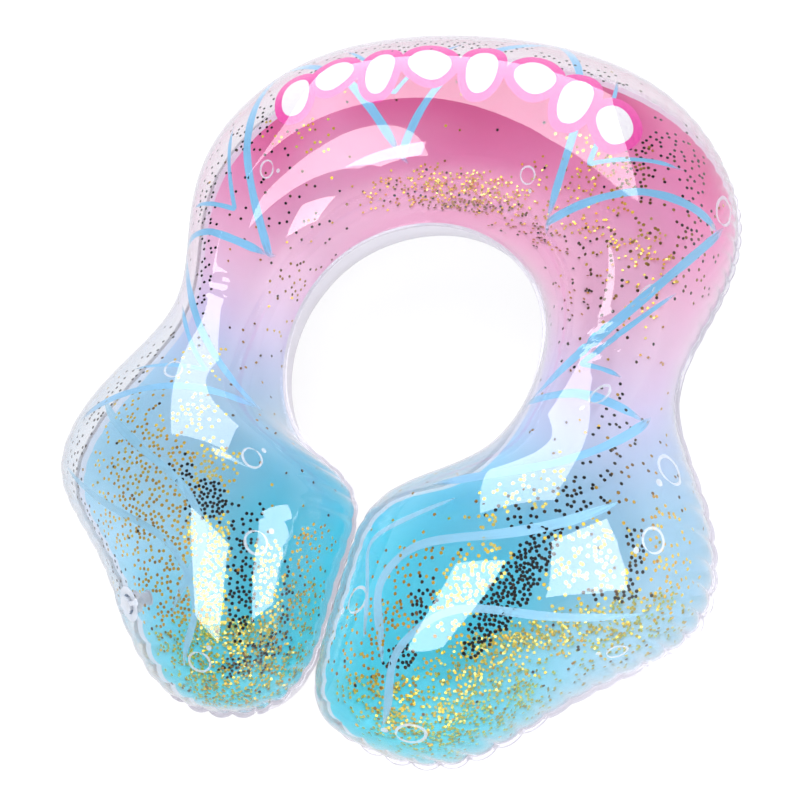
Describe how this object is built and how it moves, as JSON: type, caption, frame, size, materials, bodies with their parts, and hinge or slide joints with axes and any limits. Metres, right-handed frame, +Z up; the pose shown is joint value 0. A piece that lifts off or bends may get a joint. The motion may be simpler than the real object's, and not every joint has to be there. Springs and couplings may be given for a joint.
{
  "type": "swim ring",
  "caption": "Open-front inflatable swim ring: clear and printed sheets welded round one air chamber with loose confetti, and a push-in valve with a hinged stopper.",
  "frame": {"origin": "on the floor, under the middle of the ring's length and width as it lies flat", "axes": "+X to the ring's right, +Y to its back, away from the mouth, +Z up, out of the clear sheet"},
  "size_m": [0.654, 0.749, 0.2253],
  "materials": {
    "clear_pvc": "clear glossy film",
    "printed_pvc": "glossy film, printed inside, white outside",
    "valve_pvc": "translucent soft moulding",
    "gold_foil": "metallised gold film"
  },
  "bodies": {
    "ring": {"top_sheet": "clear_pvc", "bottom_sheet": "printed_pvc", "valve_base": "valve_pvc", "confetti_01": "gold_foil", "confetti_02": "gold_foil", "confetti_03": "gold_foil", "confetti_04": "gold_foil", "confetti_05": "gold_foil", "confetti_06": "gold_foil", "confetti_07": "gold_foil", "confetti_08": "gold_foil", "confetti_09": "gold_foil", "confetti_10": "gold_foil", "confetti_11": "gold_foil", "confetti_12": "gold_foil", "confetti_13": "gold_foil", "confetti_14": "gold_foil", "confetti_15": "gold_foil", "confetti_16": "gold_foil", "confetti_17": "gold_foil", "confetti_18": "gold_foil", "confetti_19": "gold_foil", "confetti_20": "gold_foil", "confetti_21": "gold_foil", "confetti_22": "gold_foil", "confetti_23": "gold_foil", "confetti_24": "gold_foil", "confetti_25": "gold_foil", "confetti_26": "gold_foil", "confetti_27": "gold_foil", "confetti_28": "gold_foil", "confetti_29": "gold_foil", "confetti_30": "gold_foil", "confetti_31": "gold_foil", "confetti_32": "gold_foil", "confetti_33": "gold_foil", "confetti_34": "gold_foil", "confetti_35": "gold_foil", "confetti_36": "gold_foil"},
    "stem": {"valve_stem": "valve_pvc"},
    "stopper": {"stopper": "valve_pvc"},
    "flap": {"check_flap": "valve_pvc"}
  },
  "joints": [
    {"name": "valve_pull", "type": "slide", "parent": "ring", "child": "stem", "axis": [-0.4517, -0.5258, 0.7208], "range_m": [0, 0.01]},
    {"name": "stopper_hinge", "type": "hinge", "parent": "stem", "child": "stopper", "pos_m": [-0.16889, -0.3087, 0.17532], "axis": [0.4796, -0.8243, -0.3008], "range_deg": [0, 170]},
    {"name": "flap_hinge", "type": "hinge", "parent": "stem", "child": "flap", "pos_m": [-0.15439, -0.29528, 0.16167], "axis": [-0.4796, 0.8243, 0.3008], "range_deg": [0, 60], "stiffness_Nm_per_rad": 0.0001}
  ]
}
